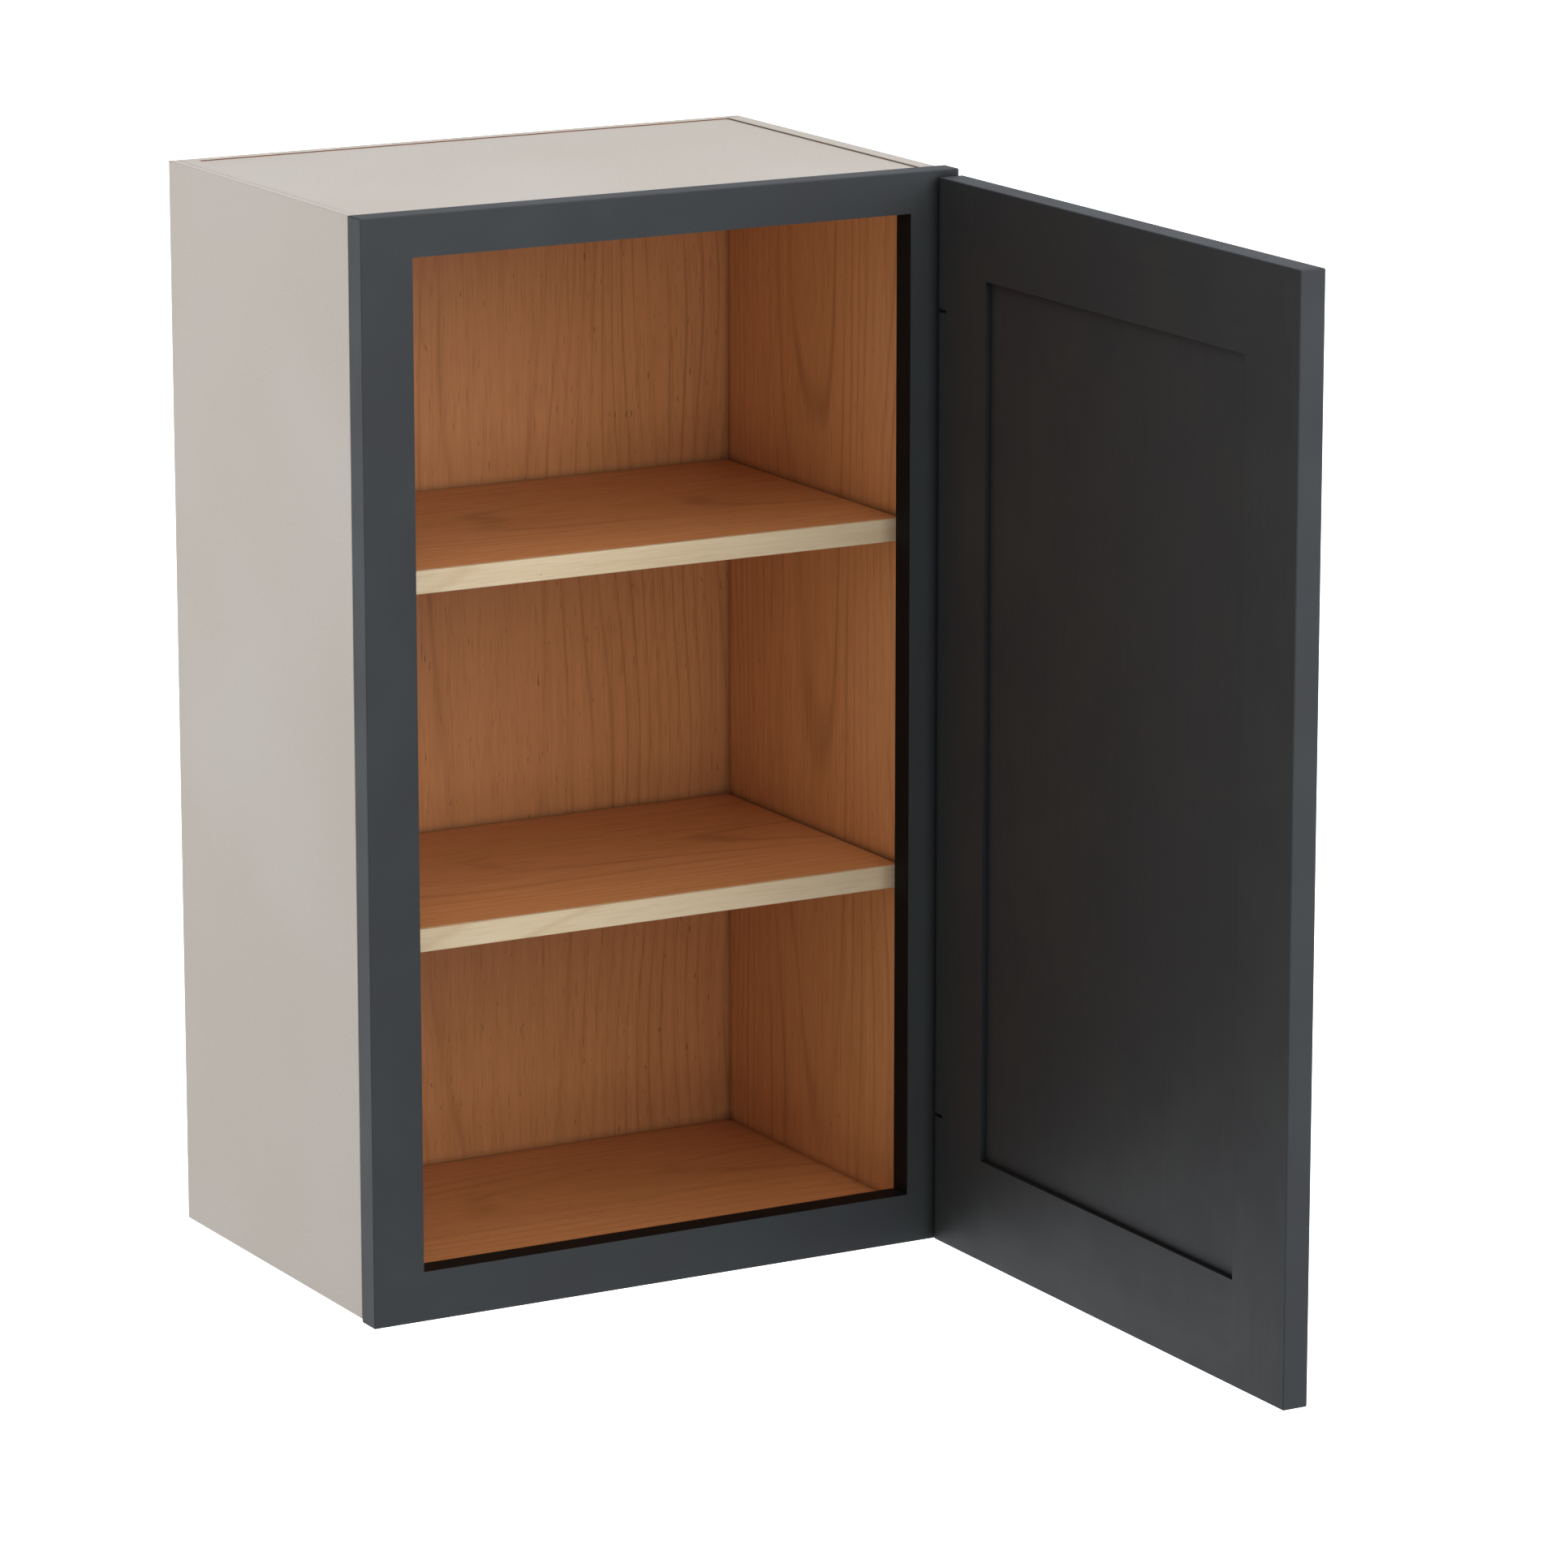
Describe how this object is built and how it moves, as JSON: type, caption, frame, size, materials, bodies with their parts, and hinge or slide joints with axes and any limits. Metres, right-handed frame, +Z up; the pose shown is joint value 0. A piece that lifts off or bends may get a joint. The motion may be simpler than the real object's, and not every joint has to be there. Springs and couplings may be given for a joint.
{
  "type": "hanging wall cabinet",
  "caption": "Face-framed hanging wall cabinet with a dark painted shaker door, loose shelves on pins, maple interior and a hanging rail for wall screws.",
  "frame": {"origin": "on the wall plane, midway across the cabinet, level with the wall screws in the hanging rail", "axes": "+X to the cabinet's right as one faces it, +Y towards the wall, +Z up; the door stands open at 90 degrees"},
  "size_m": [0.4584, 0.7528, 0.762],
  "materials": {
    "painted_wood": "satin dark grey paint on solid wood",
    "end_laminate": "matt warm-grey laminate on board",
    "maple_veneer": "satin maple veneer on board inside, warm-grey laminate outside",
    "maple_edging": "pale maple edging, satin",
    "beech_tenon": "bare beech",
    "shelf_pin_nickel": "nickel-plated steel",
    "hinge_black": "black powder coat",
    "hinge_pin_steel": "ground steel",
    "screw_zinc": "zinc plated",
    "spacer_rubber": "soft matt rubber"
  },
  "bodies": {
    "case": {"side_left": "maple_veneer", "end_skin_left": "end_laminate", "side_right": "maple_veneer", "top_panel": "maple_veneer", "bottom_panel": "maple_veneer", "back_panel": "maple_veneer", "hanging_rail": "maple_veneer", "frame_stile_left": "painted_wood", "frame_stile_right": "painted_wood", "frame_rail_top": "painted_wood", "frame_rail_bottom": "painted_wood", "frame_tenon_top_left": "beech_tenon", "frame_tenon_top_right": "beech_tenon", "frame_tenon_bottom_left": "beech_tenon", "frame_tenon_bottom_right": "beech_tenon", "shelf_pin_lower_left_front": "shelf_pin_nickel", "shelf_pin_lower_left_back": "shelf_pin_nickel", "shelf_pin_lower_right_front": "shelf_pin_nickel", "shelf_pin_lower_right_back": "shelf_pin_nickel", "shelf_pin_upper_left_front": "shelf_pin_nickel", "shelf_pin_upper_left_back": "shelf_pin_nickel", "shelf_pin_upper_right_front": "shelf_pin_nickel", "shelf_pin_upper_right_back": "shelf_pin_nickel", "hinge_lower_frame_leaf": "hinge_black", "hinge_lower_frame_screw_lower": "screw_zinc", "hinge_lower_frame_screw_upper": "screw_zinc", "hinge_upper_frame_leaf": "hinge_black", "hinge_upper_frame_screw_lower": "screw_zinc", "hinge_upper_frame_screw_upper": "screw_zinc"},
    "door": {"door_stile_hinge": "painted_wood", "door_stile_free": "painted_wood", "door_rail_top": "painted_wood", "door_rail_bottom": "painted_wood", "door_panel": "painted_wood", "panel_spacer_free_lower": "spacer_rubber", "panel_spacer_free_upper": "spacer_rubber", "panel_spacer_hinge_lower": "spacer_rubber", "panel_spacer_hinge_upper": "spacer_rubber", "hinge_lower_door_leaf": "hinge_black", "hinge_lower_pin": "hinge_pin_steel", "hinge_lower_door_screw_lower": "screw_zinc", "hinge_lower_door_screw_upper": "screw_zinc", "hinge_upper_door_leaf": "hinge_black", "hinge_upper_pin": "hinge_pin_steel", "hinge_upper_door_screw_lower": "screw_zinc", "hinge_upper_door_screw_upper": "screw_zinc"},
    "lower_shelf": {"shelf_lower": "maple_veneer", "shelf_lower_edge": "maple_edging"},
    "upper_shelf": {"shelf_upper": "maple_veneer", "shelf_upper_edge": "maple_edging"}
  },
  "joints": [
    {"name": "door_hinge", "type": "hinge", "parent": "case", "child": "door", "pos_m": [0.2182, -0.30895, -0.7192], "axis": [0, 0, 1], "range_deg": [-90, 10]},
    {"name": "lower_shelf_lift", "type": "slide", "parent": "case", "child": "lower_shelf", "axis": [0, 0, 1], "range_m": [0, 0.03]},
    {"name": "upper_shelf_lift", "type": "slide", "parent": "case", "child": "upper_shelf", "axis": [0, 0, 1], "range_m": [0, 0.03]}
  ]
}
